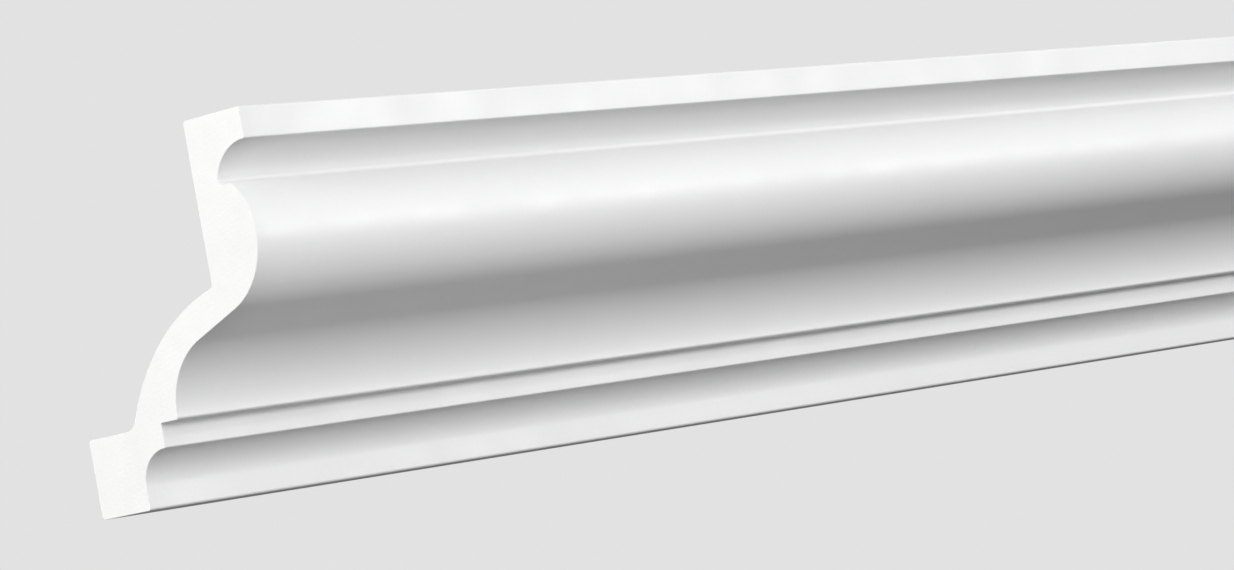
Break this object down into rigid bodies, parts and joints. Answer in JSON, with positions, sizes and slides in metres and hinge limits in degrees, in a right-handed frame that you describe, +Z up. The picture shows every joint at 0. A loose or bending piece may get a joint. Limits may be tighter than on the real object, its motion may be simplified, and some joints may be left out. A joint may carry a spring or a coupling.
{
  "type": "crown moulding length",
  "caption": "Straight length of crown moulding with an ogee face, a stepped foot and a hollow back, for the corner between wall and ceiling.",
  "frame": {"origin": "middle of the wall land, half way along the piece and half way up the land that lies on the wall", "axes": "+X along the piece; +Y into the wall, so the face looks out along -Y; +Z up to the ceiling"},
  "size_m": [1, 0.0865, 0.11],
  "materials": {
    "primed_polyurethane": "satin white primer over a dense moulded skin"
  },
  "bodies": {
    "root": {"crown_moulding": "primed_polyurethane"}
  },
  "joints": []
}
